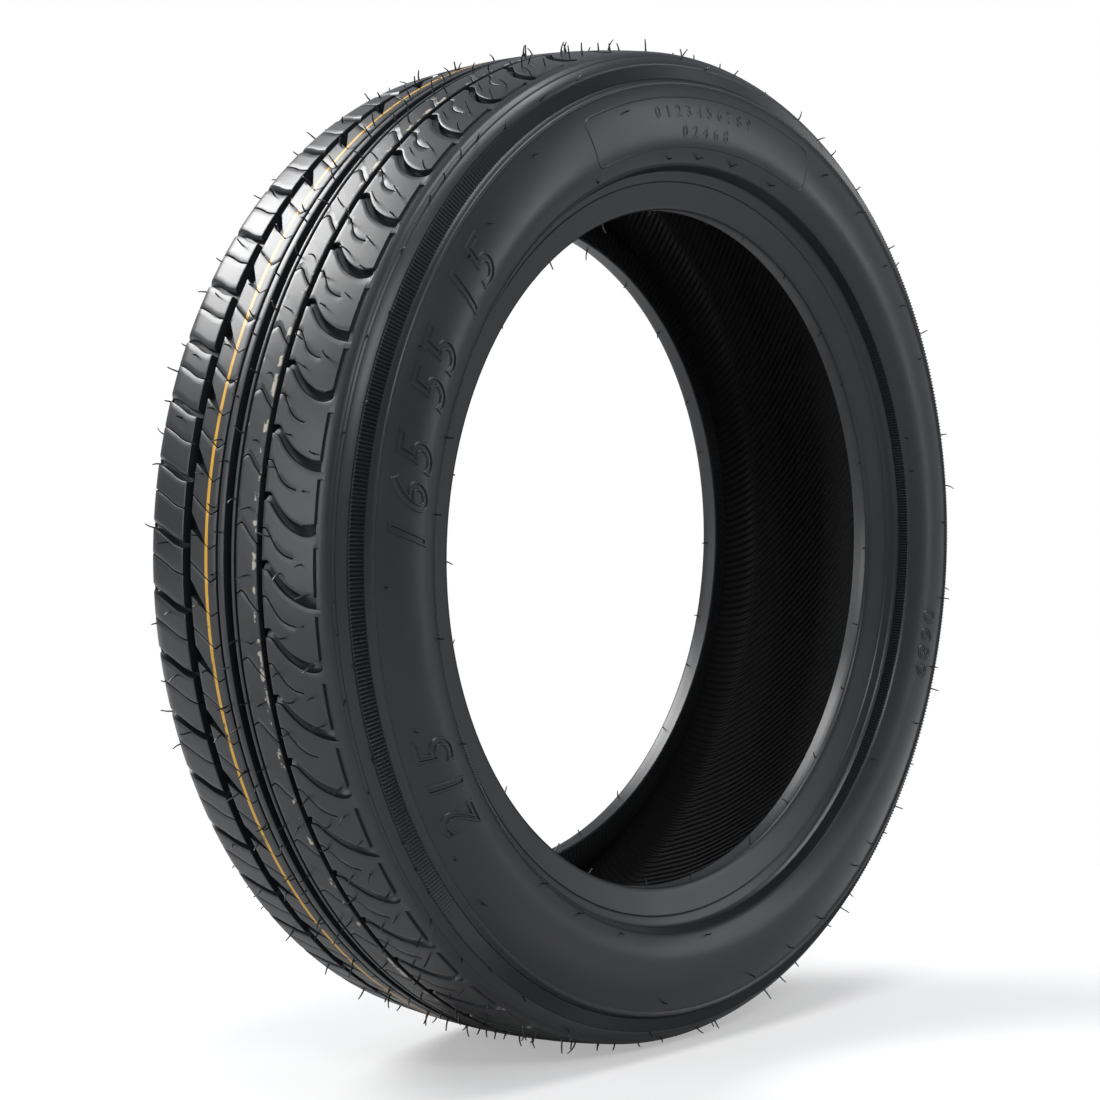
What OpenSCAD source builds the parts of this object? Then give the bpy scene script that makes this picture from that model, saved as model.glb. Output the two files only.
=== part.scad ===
// Car tyre for a 15 inch rim, standing upright on its tread.
// The axle line is Y, the outer sidewall faces -Y and the road is at the bottom of Z.
// Origin: the middle of the wheel. Sizes in millimetres.

/* [Overall size] */
// Diameter over the middle of the tread
outer_d = 562; // [554:1:572]
// Width over the bulge of both sidewalls
section_w = 168; // [164:1:172]
// Radius of the crown across the tread
crown_arc = 420; // [360:10:600]
// Half the width of the tread, from the middle plane to where the shoulder begins
tread_half = 58; // [56.5:0.5:59.5]
// Radius of the rounded shoulder between tread and sidewall
shoulder_arc = 17; // [15.5:0.5:18.5]
// Depth of the flat where the standing tyre presses on the road
contact_flat = 1.2; // [1:0.1:1.6]

/* [Beads] */
// Bore of the bead seats, before the rim stretches them
bead_bore_d = 379.2; // [377:0.2:381]
// Distance between the outer faces of the two beads
bead_span = 128; // [124:1:132]
// Width of the seat under each bead, from its toe to its outer face
bead_seat = 10.5; // [9:0.5:12]
// Thickness of the bead above its seat
bead_thick = 12; // [11:0.5:13]

/* [Walls] */
// Thickness of rubber and plies in the flank
flank_wall = 7; // [6:0.5:8]
// Thickness under the crown, grooves included
crown_wall = 14; // [12.5:0.5:16]

/* [Tread] */
// Number of pattern pitches round the tyre, an even number
pitches = 52; // [48:2:56]
// Depth of the round-the-tyre grooves
groove_depth = 7; // [5:0.5:8]
// Width of the widest round-the-tyre groove, on the inner side
wide_groove = 6.4; // [5:0.2:7.6]
// Width of the groove next to the middle
middle_groove = 5.6; // [4:0.2:6.6]
// Width of the narrow groove along the outer side's blocks
narrow_groove = 3.6; // [2.6:0.2:4.6]
// Width of the two shallow lines beside the middle ribs
rib_line = 1.6; // [1:0.2:2.2]
// Depth of the cross grooves and notches
cross_depth = 5; // [3.5:0.5:6]
// Width of the cross grooves over the inner side's shoulder
cross_width = 4.2; // [3:0.2:5.4]
// Width of the hooked grooves through the outer side's blocks
hook_width = 5; // [4:0.2:6]
// Depth of the thin slits in the blocks
sipe_depth = 3.5; // [2:0.5:5]
// Width of the thin slits
sipe_width = 0.8; // [0.6:0.1:1.2]

/* [Hidden] */
$fn = 256;

r_crown = outer_d / 2;
r_bead = bead_bore_d / 2;
half_w = section_w / 2;
half_bead = bead_span / 2;
pitch_len = PI * outer_d / pitches;

// Round-the-tyre grooves: distance of the middle of each from the middle plane, width, depth
wide_at = -33.7;
inner_line_at = -10;
middle_at = -2;
outer_line_at = 3.6;
narrow_at = 20.6;
line_depth = groove_depth * 0.4;
channels = [
    [wide_at, wide_groove, groove_depth],
    [inner_line_at, rib_line, line_depth],
    [middle_at, middle_groove, groove_depth],
    [outer_line_at, rib_line, line_depth],
    [narrow_at, narrow_groove, groove_depth]
];
// How much a groove narrows on each side from the tread down to its floor
groove_draft = 0.5;

// Radius of the tread surface at a distance from the middle plane
function crown_r(a) = r_crown - a * a / (2 * crown_arc);

// The shoulder's arc starts along the crown and ends above the serrated band
shoulder_start_angle = asin(tread_half / crown_arc);
shoulder_end_angle = 72;
shoulder_steps = 4;
shoulder_mid = [
    crown_r(tread_half) - shoulder_arc * cos(shoulder_start_angle),
    tread_half - shoulder_arc * sin(shoulder_start_angle)
];
function shoulder_pt(i) = let(
        ang = shoulder_start_angle + (shoulder_end_angle - shoulder_start_angle) * i / shoulder_steps
    ) shoulder_mid + shoulder_arc * [cos(ang), sin(ang)];
shoulder_end = shoulder_pt(shoulder_steps);

// The flank from the band below the shoulder to the bead: radius, distance from the middle plane
band_foot = shoulder_end + [-8.6, 2.6];
flank_top = [band_foot[0] - 1.6, half_w - 4.6];
flank_low = [r_bead + 25.5, half_w - 5.6];
flank_mid_r = (flank_top[0] + flank_low[0]) / 2 - 3.7;
rim_top = [r_bead + 21, half_bead + 6];
rim_line = [r_bead + 15.4, half_bead + 3.6];
heel_ridge = [r_bead + 4, half_bead + 0.6];
heel = [r_bead, half_bead - 1.6];
toe = [r_bead, half_bead - bead_seat];

// The flank bulges as two half parabolas that meet where it is widest
function bulge(r) = let(
        up = (r - flank_mid_r) / (flank_top[0] - flank_mid_r),
        down = (flank_mid_r - r) / (flank_mid_r - flank_low[0])
    ) r > flank_mid_r ? half_w - (half_w - flank_top[1]) * up * up
                      : half_w - (half_w - flank_low[1]) * down * down;
flank_steps = 9;

// One side's outline from the shoulder down to the heel
side_outline = concat(
    [for (i = [1 : shoulder_steps]) shoulder_pt(i)],
    [shoulder_end + [-0.6, -0.4], band_foot + [0.3, -0.5], band_foot],
    [for (i = [0 : flank_steps])
        let(r = flank_top[0] + (flank_low[0] - flank_top[0]) * i / flank_steps) [r, bulge(r)]],
    [rim_top + [1.6, 4.6], rim_top, rim_top - [1.4, 0.3]],
    [rim_line + [0.8, 0.3], rim_line - [0, 0.5], rim_line - [0.8, 0]],
    [heel_ridge, heel_ridge - [2.4, 0.2], heel]
);

// One side's inner face from the toe up to the crown
liner_r = r_crown - crown_wall;
liner_half = half_w - flank_wall;
side_liner = [
    toe,
    toe + [1.5, -0.4],
    [r_bead + 9, half_bead - bead_thick + 2.5],
    [r_bead + 18, half_bead - bead_thick + 7],
    [r_bead + 27, liner_half - 8],
    [flank_mid_r - 9, liner_half - 1.4],
    [flank_mid_r, liner_half],
    [flank_mid_r + 9, liner_half - 1.2],
    [flank_top[0] - 5, liner_half - 5.6],
    [liner_r - 9, liner_half - 14],
    [liner_r - 3.5, liner_half - 27],
    [liner_r - 0.8, liner_half - 48]
];

// The floor and edges of one round-the-tyre groove, drawn in the section
function channel_pts(at, w, deep) = [
    [crown_r(at - w / 2), at - w / 2],
    [crown_r(at) - deep, at - w / 2 + groove_draft],
    [crown_r(at) - deep, at + w / 2 - groove_draft],
    [crown_r(at + w / 2), at + w / 2]
];
block_mid = (narrow_at + tread_half) / 2;
tread_outline = concat(
    [[crown_r(tread_half), -tread_half]],
    [for (c = channels) each channel_pts(c[0], c[1], c[2])],
    [[crown_r(block_mid), block_mid], [crown_r(tread_half), tread_half]]
);

function mirrored(pts) = [for (i = [len(pts) - 1 : -1 : 0]) [pts[i][0], -pts[i][1]]];

module carcass() {
    rotate_extrude(convexity = 12)
        polygon(concat(
            mirrored(side_outline), tread_outline, side_outline,
            side_liner, [[liner_r, 0]], mirrored(side_liner)
        ));
}

// A cutter that stands square to the tread at a distance from the middle plane, leaning with the
// crown. Its outline holds points as [distance from the middle plane, distance along the tread].
over_tread = 2;
module sunk(at, depth, lean, outline) {
    translate([crown_r(at) - depth, 0, at])
        rotate([0, 90 - lean, 0])
            linear_extrude(height = depth + over_tread)
                polygon([for (p = outline) [at - p[0], p[1]]]);
}

// A band of even width along a line of points
function band(line, w) = concat(
    [for (p = line) [p[0], p[1] - w / 2]],
    [for (i = [len(line) - 1 : -1 : 0]) [line[i][0], line[i][1] + w / 2]]
);

// Cross grooves reach this far past the edge of the round-the-tyre groove that they open into
into_groove = 1.2;
cross_end = wide_at - wide_groove / 2 + into_groove;
inner_rib_start = wide_at + wide_groove / 2 - into_groove;
outer_rib_end = narrow_at - narrow_groove / 2 + into_groove;
hook_start = narrow_at + narrow_groove / 2 - into_groove;
cross_lean = -atan((crown_r(cross_end) - shoulder_end[0] + 2) / (shoulder_end[1] + cross_end));
inner_rib_mid = (inner_rib_start + inner_line_at) / 2;
inner_rib_lean = asin(inner_rib_mid / crown_arc);
outer_rib_mid = (outer_rib_end + outer_line_at) / 2;
outer_rib_lean = asin(outer_rib_mid / crown_arc);
hook_lean = asin(block_mid / crown_arc);

// The S line that the inner side's cross grooves and slits follow over the shoulder
cross_line = [[-shoulder_end[1] - 5, 0], [-tread_half - 2, 1.4], [cross_end - 9, 8.6], [cross_end, 10.6]];

module cross_groove() {
    sunk(cross_end, cross_depth, cross_lean, band(cross_line, cross_width));
}

module cross_sipe() {
    sunk(cross_end, sipe_depth, cross_lean, band(cross_line, sipe_width));
}

// A tapered notch and a tick-shaped slit in the rib beside the widest groove
module inner_rib_notch() {
    tip = inner_line_at - 8.5;
    sunk(inner_rib_mid, cross_depth, inner_rib_lean,
        [[inner_rib_start, -1.2], [tip - 8, 4], [tip, 15.2], [tip - 9.5, 8.9], [inner_rib_start, 9.2]]);
}

module inner_rib_sipe() {
    sunk(inner_rib_mid, sipe_depth, inner_rib_lean,
        band([[inner_rib_start, -1], [inner_line_at - 5.4, 10], [inner_line_at, 7.6]], sipe_width));
}

// A notch that widens towards the narrow groove, and a tick-shaped slit, in the outer rib
module outer_rib_notch() {
    turn = outer_line_at + 4.4;
    sunk(outer_rib_mid, cross_depth, outer_rib_lean, [
        [outer_line_at, 0], [turn, -1.8], [outer_rib_end, 8.2], [outer_rib_end, 12.6],
        [outer_rib_end - 2.6, 12.9], [turn, -0.6], [outer_line_at, 0.9]
    ]);
}

module outer_rib_sipe() {
    sunk(outer_rib_mid, sipe_depth, outer_rib_lean,
        band([[outer_line_at, 0], [outer_line_at + 4.6, -1.9], [outer_rib_end, 9.2]], sipe_width));
}

// A groove that crosses an outer block and hooks up along the shoulder, nearly to the next one.
// Every second hook has a rounded foot, and the others end in a point.
hook_gap = 3;
module hook_groove(rounded) {
    shoulder = tread_half + 1;
    post = shoulder - 3.6;
    foot = rounded
        ? [[post - 2.5, 19.7], [shoulder - 1.8, 17], [shoulder, 12]]
        : [[shoulder - 1, 21.4], [shoulder, 12]];
    top = 21.4 + hook_gap - pitch_len;
    sunk(hook_start, cross_depth, hook_lean, concat(
        [[hook_start, 2.5], [hook_start + 7, 4.8], [hook_start + 17, 13.8], [post - 9, 18.6]],
        foot,
        [[shoulder, top], [post, top], [post, 12], [post - 3.5, 15.2], [post - 9, 18.6 - hook_width]],
        [[hook_start + 17, 13 - hook_width], [hook_start + 7, 4.2 - hook_width],
         [hook_start, 2.5 - hook_width]]
    ));
}

module block_sipe() {
    line = [[hook_start, 0], [hook_start + 5, 2], [hook_start + 12, 11.2], [hook_start + 21, 15]];
    sunk(hook_start, sipe_depth, hook_lean, band(line, sipe_width));
}

// Turns a cutter along the tread by a share of one pitch
module along(share) {
    rotate(share * 360 / pitches) children();
}

module pattern_pitch(rounded) {
    along(0.43) cross_groove();
    along(-0.11) cross_sipe();
    along(0.3) inner_rib_notch();
    along(0.02) inner_rib_sipe();
    along(-0.1) outer_rib_notch();
    along(0.44) outer_rib_sipe();
    hook_groove(rounded);
    along(0.45) block_sipe();
}

// The part of the tread that the road presses flat
module road() {
    translate([-r_crown, -r_crown - 10, -section_w])
        cube([outer_d, 10 + contact_flat, 2 * section_w]);
}

module tyre() {
    color("#2b2c2e") rotate([90, 0, 0]) difference() {
        carcass();
        for (i = [0 : pitches - 1]) along(i) pattern_pitch(i % 2 == 0);
        road();
    }
}

tyre();
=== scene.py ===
"""Looks of a road car tyre that stands upright on its tread.

Wheel measures are in millimetres: 'across' is the distance from the middle plane towards the outer
sidewall (world -Y), 'radius' is from the axle line, and 'theta' turns from +X up towards +Z.
"""
import math

import bmesh
import bpy
import numpy as np
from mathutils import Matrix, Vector


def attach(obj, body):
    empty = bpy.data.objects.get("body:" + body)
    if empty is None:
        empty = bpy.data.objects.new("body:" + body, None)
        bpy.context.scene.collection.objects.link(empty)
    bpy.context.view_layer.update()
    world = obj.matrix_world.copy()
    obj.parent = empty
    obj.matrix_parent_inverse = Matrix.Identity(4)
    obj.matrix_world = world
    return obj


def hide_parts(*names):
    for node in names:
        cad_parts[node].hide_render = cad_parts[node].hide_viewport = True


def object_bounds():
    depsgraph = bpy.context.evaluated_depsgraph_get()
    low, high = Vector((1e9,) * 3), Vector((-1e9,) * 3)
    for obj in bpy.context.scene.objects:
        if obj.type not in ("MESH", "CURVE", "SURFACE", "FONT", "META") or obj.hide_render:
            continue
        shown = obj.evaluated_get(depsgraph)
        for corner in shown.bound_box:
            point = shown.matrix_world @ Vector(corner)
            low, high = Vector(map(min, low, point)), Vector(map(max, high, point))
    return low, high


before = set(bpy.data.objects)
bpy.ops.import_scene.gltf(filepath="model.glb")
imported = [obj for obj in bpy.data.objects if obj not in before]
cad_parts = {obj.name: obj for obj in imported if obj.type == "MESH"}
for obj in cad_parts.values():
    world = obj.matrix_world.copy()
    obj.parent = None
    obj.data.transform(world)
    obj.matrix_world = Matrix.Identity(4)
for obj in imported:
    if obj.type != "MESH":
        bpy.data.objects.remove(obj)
cad_low, cad_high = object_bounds()
M = 0.001

# Sizes of the frame, and the ones that repeat the tread's drawing

CROWN = cad_high.x / M
HALF_W = cad_high.y / M
ROAD = cad_low.z / M
CROWN_ARC = 420.0
TREAD_HALF = 58.0
SHOULDER_ARC = 17.0
SHOULDER_END = math.radians(58)
BEAD = 189.6
HALF_BEAD = 64.0
PITCHES = 52
PITCH = 2 * math.pi * CROWN / PITCHES
TAU = 2 * math.pi

WIDE = (-36.9, -30.5)
INNER_LINE = (-10.8, -9.2)
MIDDLE = (-4.8, 0.8)
OUTER_LINE = (2.8, 4.4)
NARROW = (18.8, 22.4)
CHANNEL_DEEP = 7.0
LINE_DEEP = 2.8
CARCASS_UNDER = 7.2
BLOCK_EDGE = 63.6
POST = 55.3
RECESS_OUT = 58.9


# Small helpers for materials

def colour(code):
    """An sRGB hex colour as linear RGBA."""
    parts = [int(code[i:i + 2], 16) / 255 for i in (1, 3, 5)]
    return tuple(c / 12.92 if c <= 0.04045 else ((c + 0.055) / 1.055) ** 2.4 for c in parts) + (1.0,)


def node(tree, kind, settings=None, **links):
    """Adds one shader node; settings are its attributes, links its input values or sockets."""
    made = tree.nodes.new(kind)
    for key, value in (settings or {}).items():
        setattr(made, key, value)
    for key, value in links.items():
        numbered = key[0] == "i" and key[1:].isdigit()
        socket = made.inputs[int(key[1:]) if numbered else key.replace("_", " ")]
        if isinstance(value, bpy.types.NodeSocket):
            tree.links.new(value, socket)
        else:
            socket.default_value = value
    return made


def new_material(name):
    material = bpy.data.materials.new(name)
    material.use_nodes = True
    tree = material.node_tree
    return material, tree, tree.nodes["Principled BSDF"]


# Surfaces of the wheel

def skin(across):
    """Radius of the tread and shoulder: a crown parabola, then the shoulder's circular arc."""
    a = np.abs(np.asarray(across, float))
    start = math.asin(TREAD_HALF / CROWN_ARC)
    mid_r = CROWN - TREAD_HALF ** 2 / (2 * CROWN_ARC) - SHOULDER_ARC * math.cos(start)
    mid_a = TREAD_HALF - SHOULDER_ARC * math.sin(start)
    arc = mid_r + np.sqrt(np.maximum(SHOULDER_ARC ** 2 - (a - mid_a) ** 2, 0))
    return np.where(a <= TREAD_HALF, CROWN - a ** 2 / (2 * CROWN_ARC), arc)


def shoulder_point(angle):
    """Radius and distance across at an angle round the shoulder's arc."""
    start = math.asin(TREAD_HALF / CROWN_ARC)
    mid_r = CROWN - TREAD_HALF ** 2 / (2 * CROWN_ARC) - SHOULDER_ARC * math.cos(start)
    mid_a = TREAD_HALF - SHOULDER_ARC * math.sin(start)
    return mid_r + SHOULDER_ARC * np.cos(angle), mid_a + SHOULDER_ARC * np.sin(angle)


def to_world(theta, across, radius):
    """Wheel measures in millimetres to a world point in metres, pressed flat on the road."""
    theta, across, radius = np.broadcast_arrays(theta, across, radius)
    high = np.maximum(radius * np.sin(theta), ROAD)
    return np.stack([radius * np.cos(theta), -across, high], -1) * M


def grid_faces(rows, columns, wrap_rows, wrap_columns):
    """Quads of a grid of points, joined end to end where it wraps."""
    i = np.arange(rows if wrap_rows else rows - 1)[:, None]
    j = np.arange(columns if wrap_columns else columns - 1)[None, :]
    i2, j2 = (i + 1) % rows, (j + 1) % columns
    quads = np.stack([i * columns + j, i * columns + j2, i2 * columns + j2, i2 * columns + j], -1)
    return quads.reshape(-1, 4)


def add_mesh(name, points, faces, material, sharp=35.0, values=None):
    """A mesh piece that rides on the tyre, smooth but for edges sharper than an angle."""
    mesh = bpy.data.meshes.new(name)
    mesh.from_pydata(points.reshape(-1, 3).tolist(), [], faces.tolist())
    for key, value in (values or {}).items():
        layer = mesh.attributes.new(key, "FLOAT", "POINT")
        layer.data.foreach_set("value", np.asarray(value, np.float32).ravel())
    return finish_mesh(mesh, name, material, sharp)


def finish_mesh(mesh, name, material, sharp=40.0):
    """Makes a mesh a smooth-shaded object of the tyre's rubber that rides on its body."""
    mesh.validate()
    mesh.update()
    mesh.polygons.foreach_set("use_smooth", np.ones(len(mesh.polygons), bool))
    mesh.set_sharp_from_angle(angle=math.radians(sharp))
    piece = bpy.data.objects.new(name, mesh)
    bpy.context.scene.collection.objects.link(piece)
    mesh.materials.append(material)
    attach(piece, "root")
    return piece


def through(points, x):
    """A smooth curve through a few points: cubic pieces whose slopes are the neighbours' mean."""
    px, py = np.array(points, float).T
    step = np.diff(py) / np.diff(px)
    slope = np.concatenate([[step[0]], (step[1:] + step[:-1]) / 2, [step[-1]]])
    slope[1:-1][step[1:] * step[:-1] <= 0] = 0
    k = np.clip(np.searchsorted(px, x) - 1, 0, len(px) - 2)
    w = px[k + 1] - px[k]
    u = (np.asarray(x, float) - px[k]) / w
    u = np.clip(u, 0, 1)
    return ((2 * u ** 3 - 3 * u ** 2 + 1) * py[k] + (u ** 3 - 2 * u ** 2 + u) * w * slope[k]
            + (3 * u ** 2 - 2 * u ** 3) * py[k + 1] + (u ** 3 - u ** 2) * w * slope[k + 1])


# Materials

YELLOW_LINE = (-19.1, -16.9)
CREAM_LINE = (15.8, 18.3)
PAINT_SUNK = 0.25


def between(tree, value, low, high, soft):
    """A mask that is 1 where a value lies between two limits, with soft edges."""
    rise = node(tree, "ShaderNodeMapRange", {"interpolation_type": "SMOOTHSTEP"}, Value=value,
                From_Min=low - soft, From_Max=low + soft)
    fall = node(tree, "ShaderNodeMapRange", {"interpolation_type": "SMOOTHSTEP"}, Value=value,
                From_Min=high - soft, From_Max=high + soft, To_Min=1.0, To_Max=0.0)
    both = node(tree, "ShaderNodeMath", {"operation": "MULTIPLY"}, i0=rise.outputs[0], i1=fall.outputs[0])
    return both.outputs[0]


def product(tree, first, second):
    return node(tree, "ShaderNodeMath", {"operation": "MULTIPLY"}, i0=first, i1=second).outputs[0]


def blend(tree, factor, first, second):
    """Mixes two colours, each a socket or an RGBA value."""
    mix = node(tree, "ShaderNodeMix", {"data_type": "RGBA"}, i0=factor, i6=first, i7=second)
    return mix.outputs[2]


LINER_DULLER = 0.25
LINER_RIDGES = 330
RIDGE_SLANT = 1500.0


def liner_ridges(tree, place):
    """Slanting ridges that the curing bladder presses into the liner, as a wave round the wheel."""
    parts = node(tree, "ShaderNodeSeparateXYZ", None, Vector=place)
    turn = node(tree, "ShaderNodeMath", {"operation": "ARCTAN2"},
                i0=parts.outputs["Z"], i1=parts.outputs["X"])
    slant = node(tree, "ShaderNodeMath", {"operation": "MULTIPLY"}, i0=parts.outputs["Y"], i1=RIDGE_SLANT)
    phase = node(tree, "ShaderNodeMath", {"operation": "MULTIPLY_ADD"}, i0=turn.outputs[0],
                 i1=float(LINER_RIDGES), i2=slant.outputs[0])
    return node(tree, "ShaderNodeMath", {"operation": "SINE"}, i0=phase.outputs[0]).outputs[0]


def tread_rubber():
    """Cured rubber with carbon black.

    Near black and satin where the mould was smooth, with a faint grey bloom in clouds. The tread
    carries the tyre maker's painted marks, a thin yellow line and worn cream dabs, and the inner
    liner is a duller, darker butyl sheet.
    """
    material, tree, shader = new_material("moulded_tyre_rubber")
    place = node(tree, "ShaderNodeTexCoord").outputs["Object"]
    across = node(tree, "ShaderNodeAttribute", {"attribute_name": "across"}).outputs["Fac"]
    sunk = node(tree, "ShaderNodeAttribute", {"attribute_name": "sunk"}).outputs["Fac"]
    liner = node(tree, "ShaderNodeAttribute", {"attribute_name": "liner"}).outputs["Fac"]
    cloud = node(tree, "ShaderNodeTexNoise", None, Vector=place, Scale=9.0, Detail=5.0, Roughness=0.6)
    dabs = node(tree, "ShaderNodeTexNoise", None, Vector=place, Scale=130.0, Detail=4.0, Roughness=0.6)
    grain = node(tree, "ShaderNodeTexNoise", None, Vector=place, Scale=900.0, Detail=3.0)
    tone = blend(tree, cloud.outputs["Fac"], colour("#141517"), colour("#212326"))
    tone = blend(tree, liner, tone, colour("#101112"))
    high = node(tree, "ShaderNodeMapRange", None, Value=sunk, From_Min=PAINT_SUNK,
                From_Max=PAINT_SUNK + 0.2, To_Min=1.0, To_Max=0.0).outputs[0]
    painted = product(tree, between(tree, across, *YELLOW_LINE, 0.25), high)
    kept = between(tree, dabs.outputs["Fac"], 0.36, 2.0, 0.06)
    tone = blend(tree, product(tree, painted, kept), tone, colour("#cf9c1e"))
    daubed = product(tree, between(tree, across, *CREAM_LINE, 0.5), high)
    broken = between(tree, dabs.outputs["Fac"], 0.57, 2.0, 0.02)
    tone = blend(tree, product(tree, daubed, broken), tone, colour("#a8a294"))
    tree.links.new(tone, shader.inputs["Base Color"])
    shine = node(tree, "ShaderNodeMapRange", None, Value=cloud.outputs["Fac"],
                 From_Min=0.3, From_Max=0.7, To_Min=0.29, To_Max=0.42)
    dull = node(tree, "ShaderNodeMath", {"operation": "MULTIPLY_ADD"},
                i0=liner, i1=LINER_DULLER, i2=shine.outputs[0])
    tree.links.new(dull.outputs[0], shader.inputs["Roughness"])
    bump = node(tree, "ShaderNodeBump", None, Height=grain.outputs["Fac"], Strength=0.12, Distance=0.0002)
    drawn = node(tree, "ShaderNodeBump", None, Height=liner_ridges(tree, place), Strength=liner,
                 Distance=0.0005, Normal=bump.outputs[0])
    tree.links.new(drawn.outputs[0], shader.inputs["Normal"])
    shader.inputs["IOR"].default_value = 1.52
    return material


# The camera stands where the photograph was taken

VIEW_TURN = math.radians(49.39)
VIEW_TILT = math.radians(2.38)
VIEW_FROM = (-1.2072, -1.0044, 0.0633)
LENS_PER_WIDTH = 2.4773


def add_camera():
    data = bpy.data.cameras.new("camera")
    data.sensor_width = 36.0
    data.sensor_fit = "HORIZONTAL"
    data.lens = data.sensor_width * LENS_PER_WIDTH
    data.clip_start = 0.05
    camera = bpy.data.objects.new("camera", data)
    bpy.context.scene.collection.objects.link(camera)
    camera.location = VIEW_FROM
    camera.rotation_euler = (math.pi / 2 - VIEW_TILT, 0, -VIEW_TURN)
    bpy.context.scene.camera = camera


RUBBER = tread_rubber()
add_camera()


# Tread: every rib is a ring of rows across it and columns along it, closed underneath

def ring(name, across, along, depth, material, ends=(1.2, 1.2), sharp=35.0):
    """One rib as a closed ring.

    across holds the rows' distances from the middle plane, along (rows x columns) the distance of
    each point along the tread within a set of pitches, and depth how far it lies under the skin.
    The set is copied round the wheel. A last row under the rib joins its two sides.
    """
    rows, columns = along.shape
    span = np.round(np.ptp(along.mean(0)) / PITCH + 0.02).astype(int)
    sets = PITCHES // max(span, 1)
    theta = along / CROWN
    theta = np.concatenate([theta + k * TAU / sets for k in range(sets)], 1)
    radius = np.concatenate([skin(across)[:, None] - depth] * sets, 1)
    a = np.repeat(np.asarray(across, float)[:, None], theta.shape[1], 1)
    base = np.minimum(radius[[0, -1]].min(), radius.min()) - ends[0]
    low = np.full((1, theta.shape[1]), base)
    theta = np.concatenate([theta[:1], theta, theta[-1:]])
    radius = np.concatenate([low, radius, low])
    a = np.concatenate([a[:1], a, a[-1:]])
    points = to_world(theta, a, radius)
    faces = grid_faces(*theta.shape, True, True)[:, ::-1]
    under = skin(across)[:, None] - radius[1:-1]
    under = np.concatenate([under[:1], under, under[-1:]])
    return add_mesh(name, points, faces, material, sharp, {"across": a, "sunk": under})


def comb(features, land, pitches=1):
    """Columns along the tread: each feature's own columns with land columns between them.

    A feature is (start, [(offset, depth), ...]). The gaps are filled with land columns.
    """
    marks = sorted((start + o, d) for start, cuts in features for o, d in cuts)
    out = []
    length = pitches * PITCH
    for k, (v, d) in enumerate(marks):
        out.append((v, d))
        following = marks[k + 1][0] if k + 1 < len(marks) else marks[0][0] + length
        gap = following - v
        if gap > land * 1.5:
            count = int(round(gap / land))
            out += [(v + gap * (n + 1) / count, 0.0) for n in range(count - 1)]
    return np.array(out)


def slit(deep, width=0.8):
    h = width / 2
    return [(-h - 0.5, 0), (-h, 0.22), (-h + 0.1, deep), (h - 0.1, deep), (h, 0.22), (h + 0.5, 0)]


WALL = 0.35


def rib_rows(start, stop, inner):
    """Rows of a rib between two round-the-tyre grooves: floor, wall, softened edge, then inner."""
    return np.concatenate([[start - WALL, start, start + 0.5], inner, [stop - 0.5, stop, stop + WALL]])


def rib_floor(depth, deep_start, deep_stop):
    """Sinks a rib's two side rows to the grooves beside it and softens its edges."""
    out = depth.copy()
    out[0] = np.maximum(out[0], deep_start)
    out[-1] = np.maximum(out[-1], deep_stop)
    for row in (1, -2):
        out[row] = np.maximum(out[row], 0.2)
    return out


S_LINE = [(-78, -0.2), (-70.8, 0.0), (-62.3, 1.1), (-53.1, 4.6), (-44.0, 8.9), (-36.9, 10.5), (-30, 10.8)]


def inner_shoulder():
    """Blocks over the inner shoulder: S-shaped cross grooves with a rounded upper side, and slits."""
    round_angles = np.linspace(SHOULDER_END, math.asin(TREAD_HALF / CROWN_ARC), 9)
    over = -shoulder_point(round_angles)[1]
    rows = np.concatenate([over, np.linspace(-55.5, -38.2, 9), [WIDE[0] - 0.5, WIDE[0], WIDE[0] + WALL]])
    groove = [(-2.9, 0), (-2.3, 0.25), (-1.2, 1.3), (-0.7, 2.2), (-0.5, 4.6), (1.5, 4.9), (1.85, 4.4),
              (2.1, 0.3), (2.7, 0)]
    cuts = comb([(0.43 * PITCH, groove), (-0.11 * PITCH, slit(3.6))], 3.2)
    depth = np.repeat(cuts[None, :, 1], len(rows), 0)
    fade = np.clip((rows + 71.8) / 9.0, 0, 1)[:, None] ** 0.7
    depth = depth * np.where(rows[:, None] < -60, fade, 1)
    depth = rib_floor(depth, 0, CHANNEL_DEEP)
    depth[1] = depth[1] - 0.2 * (depth[1] <= 0.2)
    along = cuts[None, :, 0] + through(S_LINE, rows)[:, None]
    return ring("inner_shoulder_blocks", rows, along, depth, RUBBER)


def tick(a):
    """Line of the inner rib's slits: down to a low point by the yellow line, then up again."""
    return np.interp(a, [-31.5, -15.4, -9], [-0.9, 9.9, 6.7])


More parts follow.
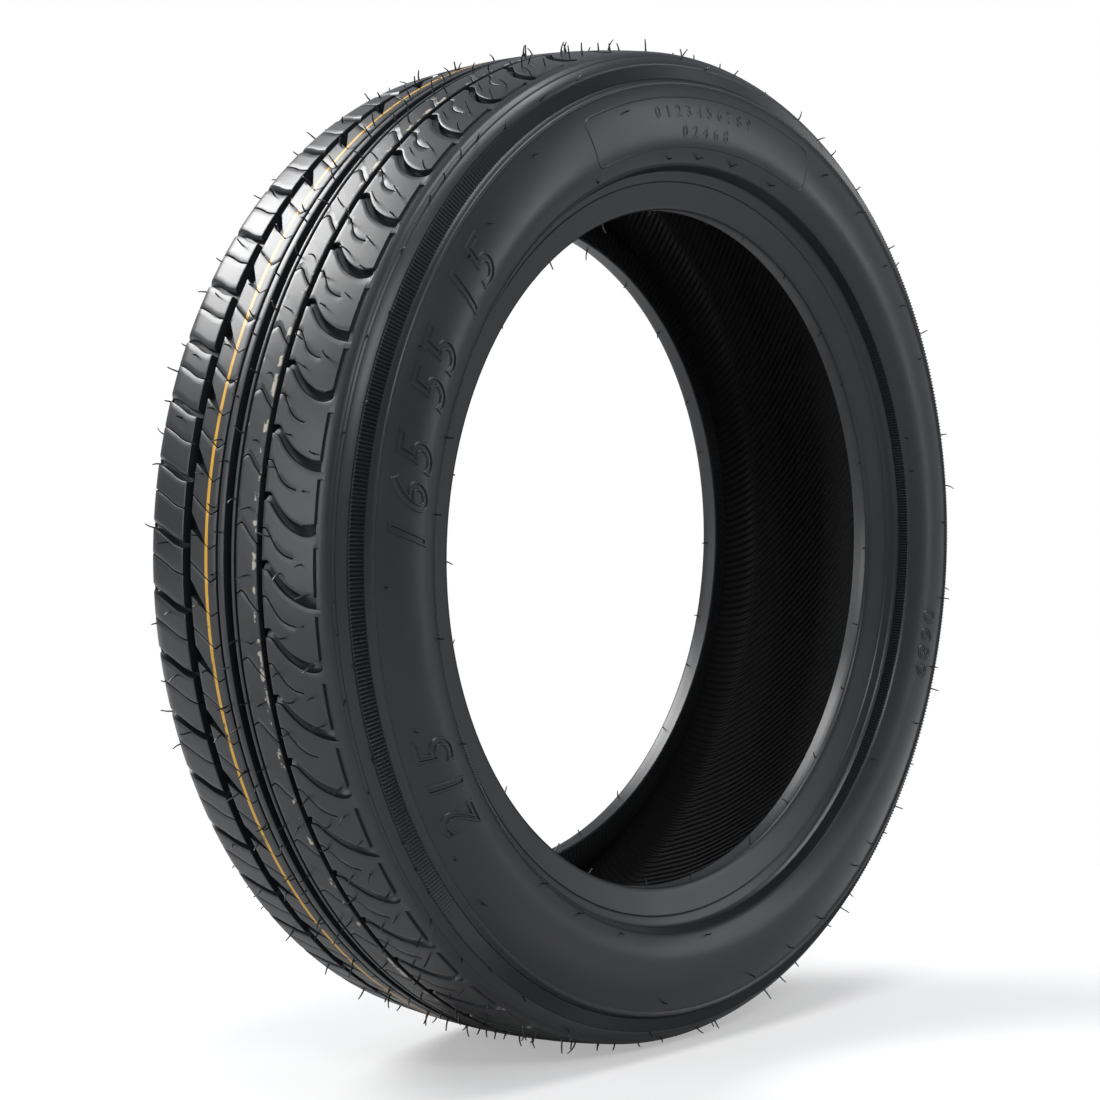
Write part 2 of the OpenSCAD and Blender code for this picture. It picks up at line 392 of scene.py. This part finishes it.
def inner_rib():
    """The painted rib: tick-shaped slits between notches that open into the widest groove."""
    rows = rib_rows(WIDE[1], INNER_LINE[0],
                    [-28.5, -26.5, -24.5, -22.5, -20.5, -18.5, -17.0, -15.8, -15.1, -13.5])
    notch_wide = np.interp(rows, [-30.5, -18.5, -10], [8.6, 0.7, 0.6])
    low = 0.27 * PITCH + 8.4
    cuts = comb([(0.0, slit(3.6))], 2.6)
    free = cuts[(cuts[:, 0] < low - 10.5) | (cuts[:, 0] > low + 0.9)]
    shares = np.array([-0.06, 0.0, 0.08, 0.3, 0.62, 0.94, 1.0, 1.06])
    deeps = np.array([0.0, 0.22, 1.6, 4.2, 4.9, 4.9, 0.22, 0.0])
    notch_at = low - notch_wide[:, None] * (1 - shares[None, :])
    thin = np.clip(notch_wide / 4.0, 0.35, 1.0)[:, None]
    along = np.concatenate([np.repeat(free[None, :, 0], len(rows), 0), notch_at], 1)
    depth = np.concatenate([np.repeat(free[None, :, 1], len(rows), 0), deeps[None, :] * thin], 1)
    order = np.argsort(along.mean(0))
    along, depth = along[:, order], depth[:, order]
    depth = rib_floor(depth, CHANNEL_DEEP, LINE_DEEP)
    return ring("inner_rib", rows, along + tick(rows)[:, None], depth, RUBBER)


def plain_ribs():
    """The two solid ribs beside the middle groove."""
    pieces = []
    for name, start, stop, left, right in (
            ("middle_rib_inner", INNER_LINE[1], MIDDLE[0], LINE_DEEP, CHANNEL_DEEP),
            ("middle_rib_outer", MIDDLE[1], OUTER_LINE[0], CHANNEL_DEEP, LINE_DEEP)):
        rows = rib_rows(start, stop, [(start + stop) / 2])
        columns = np.arange(8) * PITCH / 8
        along = np.repeat(columns[None, :], len(rows), 0)
        depth = rib_floor(np.zeros(along.shape), left, right)
        pieces.append(ring(name, rows, along, depth, RUBBER))
    return pieces


def outer_tick(a):
    """Line of the outer rib's slits: a small rise, then a long slope down to the narrow groove."""
    return through([(3.5, 0.3), (5.5, -1.0), (7.4, -1.9), (9.6, -0.9), (14, 4.0), (19.5, 9.2)], a)


def outer_rib():
    """The rib beside the narrow groove: slits, and notches that widen towards the groove."""
    rows = rib_rows(OUTER_LINE[1], NARROW[0], [6.2, 7.4, 8.4, 9.6, 11, 12.6, 14.2, 15.8, 17.2])
    notch_wide = np.interp(rows, [4, 8.6, 13, 20], [0.8, 0.8, 3.2, 4.4])
    cuts = comb([(0.44 * PITCH, slit(3.6))], 2.6)
    start = -0.105 * PITCH
    offset = (cuts[:, 0] - start) % PITCH
    free = cuts[(offset > 5.6) & (offset < PITCH - 1.2)]
    shares = np.array([-0.12, 0.0, 0.1, 0.3, 0.75, 0.92, 1.0, 1.1])
    deeps = np.array([0.0, 0.22, 3.4, 4.6, 3.9, 2.2, 0.22, 0.0])
    notch_at = start + notch_wide[:, None] * shares[None, :]
    thin = np.clip(notch_wide / 3.0, 0.5, 1.0)[:, None]
    columns = np.where(free[:, 0] < start, free[:, 0] + PITCH, free[:, 0])
    along = np.concatenate([np.repeat(columns[None, :], len(rows), 0), notch_at], 1)
    depth = np.concatenate([np.repeat(free[None, :, 1], len(rows), 0), deeps[None, :] * thin], 1)
    order = np.argsort(along.mean(0))
    along, depth = along[:, order], depth[:, order]
    depth = rib_floor(depth, LINE_DEEP, CHANNEL_DEEP)
    return ring("outer_rib", rows, along + outer_tick(rows)[:, None], depth, RUBBER)


HOOK_START = [(18, 1.6), (22.4, 1.9), (26.3, 3.0), (30.2, 7.6), (37.3, 14.2)]
HOOK_LINE = HOOK_START + [(45.7, 18.7), (51.4, 20.6), (55.3, 21.1), (64, 21.3)]
HOOK_ROUND = HOOK_START + [(45.7, 18.5), (50.0, 19.5), (53.2, 19.3), (56.0, 18.0), (58.0, 15.6),
                           (58.9, 13.2), (64, 13.0)]
BLOCK_SLIT = [(18, -0.4), (22.4, 0), (25.3, 0.7), (28.5, 5.2), (32.8, 10.6), (37.4, 13.6), (42.3, 15.0),
              (48, 16.2)]
HOOK_WIDE = 5.4
HOOK_GAP = 3.0
RECESS_DEEP = 1.3


def hook_profile(share, crest):
    """Depth across a hooked groove, from its upper edge (0) to its lower edge (1).

    A deep foot under the upper edge climbs to a crest, and a gentler slope leads on to the lower
    edge. The crest wanders from the upper to the lower side along the groove.
    """
    first = 4.9 - 2.2 * np.clip(share / crest, 0, 1) ** 1.6
    second = 2.7 - 1.5 * np.clip((share - crest) / (1 - crest), 0, 1) ** 1.2
    return np.where(share < crest, first, second)


def outer_blocks():
    """Blocks of the outer side: hooked grooves that turn up along the shoulder, and short slits."""
    rows = np.concatenate([
        [NARROW[1] - WALL, NARROW[1], NARROW[1] + 0.5], np.linspace(24.4, 41.4, 12), [42.3, 42.9],
        np.linspace(45, POST - 1.6, 6), [POST - 0.5, POST, POST + WALL], [56.4, 57.4, 58.1],
        [RECESS_OUT - WALL, RECESS_OUT, RECESS_OUT + 0.6],
        [60.6, 61.8, 62.8, BLOCK_EDGE]])
    crest = np.interp(rows, [22, 28, 48, 56], [0.3, 0.12, 0.85, 0.9])[:, None]
    wide = np.interp(rows, [18, 22.4, 27, 46, 55.3], [4.3, 4.4, 5.6, 5.3, 5.9])[:, None]
    shares = np.array([-0.11, 0.0, 0.03, 0.2, 0.4, 0.6, 0.8, 0.95, 1.0, 1.1])
    in_block = rows[:, None] <= POST + 0.01
    in_recess = (rows[:, None] > POST + 0.01) & (rows[:, None] < RECESS_OUT - 0.01)
    sets_along, sets_depth = [], []
    for k, line in enumerate((HOOK_LINE, HOOK_ROUND)):
        lower = through(line, np.minimum(rows, 64))[:, None]
        straight = through(HOOK_LINE, np.minimum(rows, POST))[:, None]
        upper = np.minimum(straight, lower) - wide
        upper = np.where(rows[:, None] > POST, np.minimum(upper, straight - 5.9), upper)
        across_hook = upper + (lower - upper) * shares[None, :]
        deep = hook_profile(np.clip(shares, 0, 1)[None, :], crest)
        edge = np.array([0.0, 0.22, 1, 1, 1, 1, 1, 1, 0.22, 0.0])
        deep = np.where(edge[None, :] < 1, edge[None, :], deep)
        recess = np.where((shares >= 0.999)[None, :], edge[None, :], RECESS_DEEP)
        deep = np.where(in_block, deep, np.where(in_recess, recess, 0))
        gap = straight + HOOK_GAP + np.array([0.9, 1.5, 1.8, 2.4])[None, :] - 0.9
        gap_deep = np.where(in_recess, np.array([0.0, 0.22, RECESS_DEEP, RECESS_DEEP])[None, :], 0.0)
        sipe_at = 0.45 * PITCH + through(BLOCK_SLIT, np.minimum(rows, 48))[:, None]
        sipe = np.array(slit(3.6))
        sipe_along = sipe_at + sipe[None, :, 0]
        land_deep = np.where(in_recess, RECESS_DEEP, 0.0)
        sipe_deep = np.where(rows[:, None] < 42.5, sipe[None, :, 1], 0) + land_deep
        next_upper = straight + PITCH - wide - 0.6
        first = gap[:, -1:]
        before = [first + (sipe_along[:, :1] - first) * s for s in (0.33, 0.66)]
        last = sipe_along[:, -1:]
        after = [last + (next_upper - last) * s for s in (0.22, 0.45, 0.68, 0.88)]
        along = np.concatenate([across_hook, gap] + before + [sipe_along] + after, 1)
        depth = np.concatenate(
            [deep, gap_deep] + [land_deep * np.ones((len(rows), 1))] * 2 + [sipe_deep]
            + [land_deep * np.ones((len(rows), 1))] * 4, 1)
        sets_along.append(along + k * PITCH)
        sets_depth.append(depth)
    along = np.concatenate(sets_along, 1)
    depth = np.concatenate(sets_depth, 1)
    depth[0] = np.maximum(depth[0], CHANNEL_DEEP)
    depth[1] = np.maximum(depth[1], 0.2)
    depth[-1] = 0.35
    return ring("outer_blocks", rows, along, depth, RUBBER)


# Carcass: the closed section under the tread, turned round the axle line

TURN_STEPS = 384
END_R, END_A = shoulder_point(SHOULDER_END)
BAND_FOOT = (END_R - 9.4, END_A + 2.9)
FLANK_TOP = (BAND_FOOT[0] - 1.6, BAND_FOOT[1] + 3.0)
FLANK_LOW = (BEAD + 25.5, HALF_W - 5.6)
FLANK_MID = 231.5
BULGE = HALF_W - 1.0
LINER_R = CROWN - 14.0
LINER_A = HALF_W - 7.0


def flank_across(radius):
    """How far the flank bulges: two half parabolas that meet where it is widest."""
    up = (radius - FLANK_MID) / (FLANK_TOP[0] - FLANK_MID)
    down = (FLANK_MID - radius) / (FLANK_MID - FLANK_LOW[0])
    upper = BULGE - (BULGE - FLANK_TOP[1]) * up ** 2
    lower = BULGE - (BULGE - FLANK_LOW[1]) * down ** 2
    return np.where(radius > FLANK_MID, upper, lower)


def arc_points(points, steps):
    """Points spread evenly along a smooth curve through the given ones."""
    pts = np.array(points, float)
    k = np.arange(len(pts))
    u = np.linspace(0, len(pts) - 1, steps)
    return np.stack([through(list(zip(k, pts[:, i])), u) for i in range(2)], 1)


def flank_outline():
    """Radius and distance across from below the serrated band down to the toe of the bead."""
    r = np.linspace(FLANK_TOP[0] - 1.6, FLANK_LOW[0], 28)
    top_r, top_a = FLANK_TOP
    ridge = [
        (BAND_FOOT[0] + 0.9, BAND_FOOT[1] + 0.2), (BAND_FOOT[0] + 0.2, BAND_FOOT[1] + 1.3),
        (top_r + 1.3, top_a - 0.9), (top_r + 1.0, top_a + 0.4), (top_r + 0.5, top_a + 1.2),
        (top_r - 0.2, top_a + 1.5), (top_r - 0.7, top_a + 1.4), (top_r - 1.1, top_a + 1.0)]
    bead = [
        (24.6, 13.6), (22.8, 10.2), (21.4, 7.6), (20.9, 6.2), (20.2, 5.6), (19.0, 5.2), (16.4, 4.2),
        (15.8, 3.9), (15.4, 3.1), (14.9, 3.5), (14.2, 3.3), (9.0, 1.9), (5.0, 0.9), (3.9, 0.6),
        (2.4, 0.2), (1.0, -0.4), (0.2, -1.2), (0.0, -2.2), (0.0, -6.0), (0.0, -10.3), (0.4, -10.7),
        (1.6, -10.9)]
    return ridge + list(zip(r, flank_across(r))) + [(BEAD + r, HALF_BEAD + a) for r, a in bead]


def carcass_section():
    """Outline of the whole section, and for each of its points whether it is on the liner."""
    down = flank_outline()
    inside = arc_points([
        (BEAD + 1.6, HALF_BEAD - 10.9), (BEAD + 9, HALF_BEAD - 9.5), (BEAD + 18, HALF_BEAD - 5),
        (BEAD + 27, LINER_A - 8), (FLANK_MID - 9, LINER_A - 1.4), (FLANK_MID, LINER_A),
        (FLANK_MID + 9, LINER_A - 1.2), (FLANK_TOP[0] - 5, LINER_A - 5.6), (LINER_R - 9, LINER_A - 14),
        (LINER_R - 3.5, LINER_A - 27), (LINER_R - 0.8, LINER_A - 48), (LINER_R, 0)], 34)[1:]
    start = math.asin((BLOCK_EDGE - shoulder_point(0)[1]) / SHOULDER_ARC)
    arc_r, arc_a = shoulder_point(start + (SHOULDER_END - start) * np.linspace(0, 1, 14))
    arc_r[0] -= 0.35
    for line in (1, 4):
        arc_r[line] -= 0.6
    under = [
        (CROWN - CARCASS_UNDER, 0.0), (skin(40.0) - CARCASS_UNDER, 40.0),
        (skin(BLOCK_EDGE) - 6, BLOCK_EDGE - 1.5), (skin(BLOCK_EDGE) - 4, BLOCK_EDGE - 0.02)]
    near = under + list(zip(arc_r, arc_a)) + [(arc_r[-1] - 0.5, arc_a[-1] - 0.1), BAND_FOOT] + down
    far_top = [
        (skin(-40.0) - CARCASS_UNDER, -40.0), (skin(-64.0) - 7.5, -64.0),
        (arc_r[-1] - 6, -arc_a[-1] + 1.2), (arc_r[-1] - 0.02, -arc_a[-1] + 0.05),
        (arc_r[-1] - 0.5, -arc_a[-1] + 0.1), (BAND_FOOT[0], -BAND_FOOT[1])]
    far = np.array(far_top[1:] + [(r, -a) for r, a in down])[::-1]
    far_inside = (inside * (1, -1))[::-1][1:]
    section = np.concatenate([np.array(near), inside, far_inside, far, np.array(far_top[:1])])
    on_liner = np.zeros(len(section))
    on_liner[len(near):len(near) + len(inside) + len(far_inside)] = 1.0
    return section, on_liner


def turned(name, section, lift=0.0, steps=TURN_STEPS, sharp=40.0, values=None):
    """A closed section of (radius, across) points turned round the axle line.

    lift (points x columns) moves each point along the wheel's own (radius, across) directions.
    """
    theta = np.arange(steps) * TAU / steps
    radius = section[:, 0][:, None] + (lift[0] if np.ndim(lift) else 0.0)
    across = section[:, 1][:, None] + (lift[1] if np.ndim(lift) else 0.0)
    points = to_world(theta[None, :], across, radius)
    faces = grid_faces(len(section), steps, True, True)
    given = {key: np.repeat(value[:, None], steps, 1) for key, value in (values or {}).items()}
    return add_mesh(name, points, faces, RUBBER, sharp, given)


def carcass():
    section, on_liner = carcass_section()
    return turned("carcass", section, values={"liner": on_liner})


# Fine relief on the sidewalls

SERRATIONS = 800


def ridged_band(name, first, last, count, height, side):
    """A band of fine ridges that run from one (radius, across) point to another.

    Columns lie by turns at the crest and at the foot of a ridge, and the back lies under the skin.
    """
    (r1, a1), (r2, a2) = first, last
    length = math.hypot(r2 - r1, a2 - a1)
    out = np.array([(a2 - a1) / length, -(r2 - r1) / length])
    out *= np.sign(out[1])
    share = np.array([0.0, 0.07, 0.93, 1.0])
    rise = np.array([0.0, 1.0, 1.0, 0.0])
    front = np.stack([r1 + (r2 - r1) * share, a1 + (a2 - a1) * share], 1)
    back = front[[3, 0]] - out * 0.8
    section = np.concatenate([front, back])
    lift = np.concatenate([rise, [0.0, 0.0]])[:, None] * (np.arange(2 * count) % 2)[None, :] * height
    section = section * (1, side)
    if side < 0:
        section, lift = section[::-1], lift[::-1]
    return turned(name, section, (lift * out[0], lift * out[1] * side), 2 * count, 20.0)


def sidewall_relief():
    for side, place in ((1, "outer"), (-1, "inner")):
        ridged_band(place + "_serrated_band", (END_R - 0.7, END_A + 0.1),
                    (BAND_FOOT[0] + 0.3, BAND_FOOT[1]), SERRATIONS, 1.3, side)
        ridged_band(place + "_knurled_step", (BEAD + 24.4, HALF_BEAD + 13.4),
                    (BEAD + 21.6, HALF_BEAD + 8.0), SERRATIONS, 1.0, side)


LONGEST_EDGE = 5.0


def bent(name, curve, turn, low, scale, lift):
    """Makes a flat curve a mesh and bends it round the outer sidewall.

    x runs clockwise as seen from outside, y outwards from a radius, and z off the flank.
    """
    flat = bpy.data.objects.new(name + "_flat", curve)
    bpy.context.scene.collection.objects.link(flat)
    mesh = bpy.data.meshes.new_from_object(flat.evaluated_get(bpy.context.evaluated_depsgraph_get()))
    bpy.data.objects.remove(flat)
    fine = bmesh.new()
    fine.from_mesh(mesh)
    far = [e for e in fine.edges if e.calc_length() * scale > LONGEST_EDGE]
    bmesh.ops.subdivide_edges(fine, edges=far, cuts=6, use_grid_fill=True)
    fine.to_mesh(mesh)
    fine.free()
    spots = np.array([v.co for v in mesh.vertices])
    polygons = [list(p.vertices) for p in mesh.polygons]
    middle = (spots[:, 0].min() + spots[:, 0].max()) / 2
    floor = spots[:, 1].min()
    radius = low + (spots[:, 1] - floor) * scale
    theta = turn - (spots[:, 0] - middle) * scale / (low + 12.0)
    across = flank_across(radius) + spots[:, 2] * scale * lift
    points = to_world(theta, np.minimum(across, HALF_W - 0.02), radius)
    piece = bpy.data.meshes.new(name)
    piece.from_pydata(points.tolist(), [], polygons)
    bpy.data.meshes.remove(mesh)
    return finish_mesh(piece, name, RUBBER)


FIGURE_HIGH = 23.0
LETTER_RATIO = 0.7


def raised_figures(name, words, turn, slant, high=FIGURE_HIGH, low=226.5):
    """Plain figures that stand up from the flank as a rounded outline."""
    curve = bpy.data.curves.new(name, "FONT")
    curve.body = words
    curve.size = 1.0
    curve.shear = slant
    curve.space_character = 1.25
    curve.fill_mode = "NONE"
    curve.bevel_depth = 0.026
    curve.bevel_resolution = 1
    curve.resolution_u = 5
    bent(name, curve, math.radians(turn), low, high / LETTER_RATIO, 1.1)


def raised_panel(name, turn_from, turn_to, low, high, corner=5.0, thick=0.55):
    """A thin raised outline with rounded corners, left bare inside."""
    half = math.radians(turn_to - turn_from) / 2 * (low + 12.0)
    tall = high - low
    curve = bpy.data.curves.new(name, "CURVE")
    curve.dimensions = "3D"
    curve.bevel_depth = thick
    curve.bevel_resolution = 1
    corners = [(half, tall, 0), (-half, tall, 90), (-half, 0, 180), (half, 0, 270)]
    spots = []
    for x, y, first in corners:
        mid = (x - math.copysign(corner, x), y - corner if y else corner)
        for step in range(5):
            angle = math.radians(first + step * 22.5)
            spots.append((mid[0] + corner * math.cos(angle), mid[1] + corner * math.sin(angle)))
        after = spots[-1]
        ahead = corners[(corners.index((x, y, first)) + 1) % 4]
        if y == ahead[1]:
            toward = ahead[0] - math.copysign(corner, ahead[0])
            spots += [(after[0] + (toward - after[0]) * k / 24, after[1]) for k in range(1, 24)]
    line = curve.splines.new("POLY")
    line.points.add(len(spots) - 1)
    for point, (x, y) in zip(line.points, spots):
        point.co = (x, y, 0, 1)
    line.use_cyclic_u = True
    bent(name, curve, math.radians((turn_from + turn_to) / 2), low, 1.0, 0.8)


# Vent whiskers, left where rubber ran into the mould's air holes

rng = np.random.default_rng(11)


def whiskers(name, places, high, thick=0.34):
    """Thin bent stalks, one for each (theta, across, radius, lean) place, closed at both ends."""
    sides, rings = 5, 5
    around = np.arange(sides) * TAU / sides
    points, faces = [], []
    for theta, across, radius, lean in places:
        radial = math.cos(lean)
        out = np.array([math.cos(theta) * radial, -math.sin(lean), math.sin(theta) * radial])
        along = np.array([-math.sin(theta), 0.0, math.cos(theta)])
        side = np.cross(out, along)
        base = np.array([radius * math.cos(theta), -across, radius * math.sin(theta)]) - out * 0.6
        turn = rng.uniform(0, TAU)
        bow = along * math.cos(turn) + side * math.sin(turn)
        tall = high * rng.uniform(0.45, 1.0)
        curl = tall * rng.uniform(0.05, 0.5)
        start = len(points)
        for step in range(rings):
            s = step / (rings - 1)
            middle = base + out * tall * (s - 0.3 * s * s * curl / tall) + bow * curl * s * s
            wide = thick * (1 - 0.35 * s)
            for angle in around:
                points.append(middle + (along * math.cos(angle) + side * math.sin(angle)) * wide)
        for step in range(rings - 1):
            for k in range(sides):
                k2 = (k + 1) % sides
                low, up = start + step * sides, start + (step + 1) * sides
                faces.append([low + k, up + k, up + k2, low + k2])
        faces.append([start + k for k in range(sides)])
        faces.append([start + (rings - 1) * sides + k for k in reversed(range(sides))])
    spots = np.array(points)
    spots[:, 1] = np.clip(spots[:, 1], -HALF_W, HALF_W)
    spots[:, 2] = np.maximum(spots[:, 2], ROAD)
    mesh = bpy.data.meshes.new(name)
    mesh.from_pydata((spots * M).tolist(), [], faces)
    return finish_mesh(mesh, name, RUBBER)


TREAD_VENTS = [(-50.0, 0.75), (-24.5, 0.62), (-13.2, 0.2), (-7.0, 0.5), (1.8, 0.1), (12.4, 0.12),
               (27.0, 0.55), (34.5, 0.05), (47.5, 0.92), (51.5, 0.4)]


def tread_whiskers():
    """On the crown ribs and blocks at every pitch, with a few that have broken off."""
    places = []
    for k in range(PITCHES):
        for across, share in TREAD_VENTS:
            if rng.uniform() < 0.9:
                theta = (k + share + rng.uniform(-0.06, 0.06)) * TAU / PITCHES
                places.append((theta, across, float(skin(across)), 0.0))
    return whiskers("tread_whiskers", places, 8.6, 0.55)


BEAD_VENTS = 26
FLANK_VENTS = 40


def side_whiskers():
    """Over both shoulders and round the flanks."""
    places = []
    for side in (1, -1):
        for k in range(PITCHES * 2):
            if rng.uniform() < 0.5:
                angle = math.radians(rng.choice([36.0, 58.0]))
                radius, across = shoulder_point(angle)
                places.append((k * TAU / PITCHES / 2, side * across, radius, side * angle))
        for k in range(BEAD_VENTS):
            theta = (k + rng.uniform(-0.2, 0.2)) * TAU / BEAD_VENTS
            places.append((theta, side * (HALF_BEAD - 3.0), BEAD + 0.3, math.pi))
        for k in range(FLANK_VENTS):
            radius = rng.choice([251.5, 246.5, 216.8])
            theta = (k + rng.uniform(-0.3, 0.3)) * TAU / FLANK_VENTS
            places.append((theta, side * float(flank_across(radius)), radius, side * math.radians(84)))
    return whiskers("side_whiskers", places, 7.4, 0.5)


body = carcass()
inner_shoulder()
inner_rib()
plain_ribs()
outer_rib()
outer_blocks()
sidewall_relief()
raised_figures("left_figures", "165 55 15", 158.0, 0.3)
raised_figures("lower_figures", "215", 208.0, 0.3)
raised_figures("round_figures", "0689", 344.0, 0.0, 13.0, 228.0)
raised_figures("upper_scale", "0 1 2 3 4 5 6 7 8 9", 90.0, 0.0, 6.5, 239.0)
raised_figures("lower_scale", "0 2 4 6 8", 90.0, 0.0, 6.5, 228.0)
raised_panel("bare_panel", 66.0, 114.0, 222.5, 250.0)
tread_whiskers()
side_whiskers()
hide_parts("tyre")


# Studio: white all round, a floor that keeps the tyre's shadow, soft lamps

FLOOR_NEAR = 0.36
FLOOR_FAR = 0.75
FLOOR_GLOW = 0.38


def add_floor():
    """White paper. The camera sees it lit near the tyre, and plain white further away."""
    material, tree, shader = new_material("paper_sweep")
    shader.inputs["Base Color"].default_value = colour("#c8c8c8")
    shader.inputs["Roughness"].default_value = 0.95
    place = node(tree, "ShaderNodeTexCoord").outputs["Object"]
    reach = node(tree, "ShaderNodeVectorMath", {"operation": "LENGTH"}, i0=place)
    far = node(tree, "ShaderNodeMapRange", {"interpolation_type": "SMOOTHSTEP"},
               Value=reach.outputs["Value"], From_Min=FLOOR_NEAR, From_Max=FLOOR_FAR)
    lit = node(tree, "ShaderNodeBsdfDiffuse", None, Color=(0.6, 0.6, 0.6, 1))
    glow = node(tree, "ShaderNodeEmission", None, Color=(1, 1, 1, 1), Strength=FLOOR_GLOW)
    near = node(tree, "ShaderNodeAddShader", None, i0=lit.outputs[0], i1=glow.outputs[0])
    white = node(tree, "ShaderNodeEmission", None, Color=(1, 1, 1, 1), Strength=1.0)
    seen = node(tree, "ShaderNodeMixShader", None, Fac=far.outputs[0],
                i1=near.outputs[0], i2=white.outputs[0])
    path = node(tree, "ShaderNodeLightPath")
    both = node(tree, "ShaderNodeMixShader", None, Fac=path.outputs["Is Camera Ray"],
                i1=shader.outputs[0], i2=seen.outputs[0])
    tree.links.new(both.outputs[0], tree.nodes["Material Output"].inputs["Surface"])
    bpy.ops.mesh.primitive_plane_add(size=8, location=(0, 0, ROAD * M - 0.0002))
    floor = bpy.context.object
    floor.name = "floor"
    floor.data.materials.append(material)


def add_lamp(name, place, aim, size, power):
    data = bpy.data.lights.new(name, "AREA")
    data.shape = "RECTANGLE"
    data.size, data.size_y = size
    data.energy = power
    lamp = bpy.data.objects.new(name, data)
    bpy.context.scene.collection.objects.link(lamp)
    lamp.location = place
    lamp.rotation_euler = (Vector(aim) - Vector(place)).to_track_quat("-Z", "Y").to_euler()


def add_world():
    world = bpy.data.worlds.new("studio")
    bpy.context.scene.world = world
    world.use_nodes = True
    tree = world.node_tree
    back = tree.nodes["Background"]
    back.inputs["Color"].default_value = (0.9, 0.93, 1.0, 1)
    back.inputs["Strength"].default_value = 0.35
    seen = node(tree, "ShaderNodeBackground", None, Color=(1, 1, 1, 1), Strength=1.0)
    path = node(tree, "ShaderNodeLightPath")
    mix = node(tree, "ShaderNodeMixShader", None, Fac=path.outputs["Is Camera Ray"])
    tree.links.new(back.outputs[0], mix.inputs[1])
    tree.links.new(seen.outputs[0], mix.inputs[2])
    tree.links.new(mix.outputs[0], tree.nodes["World Output"].inputs["Surface"])


add_floor()
add_world()
add_lamp("back_softbox", (-0.5, 1.9, 1.7), (-0.1, 0, 0.1), (1.7, 1.1), 66)
add_lamp("left_softbox", (-2.5, 1.3, 0.5), (-0.1, 0, 0), (0.6, 1.5), 17)
add_lamp("right_softbox", (2.1, -1.9, 0.9), (0.1, 0, 0), (0.4, 1.9), 12)
add_lamp("front_softbox", (-1.3, -2.1, 1.5), (0, 0, 0), (1.2, 0.5), 20)
add_lamp("top_softbox", (0, -0.5, 2.4), (0, 0, 0), (1.8, 0.6), 26)
bpy.context.scene.view_settings.view_transform = "Standard"
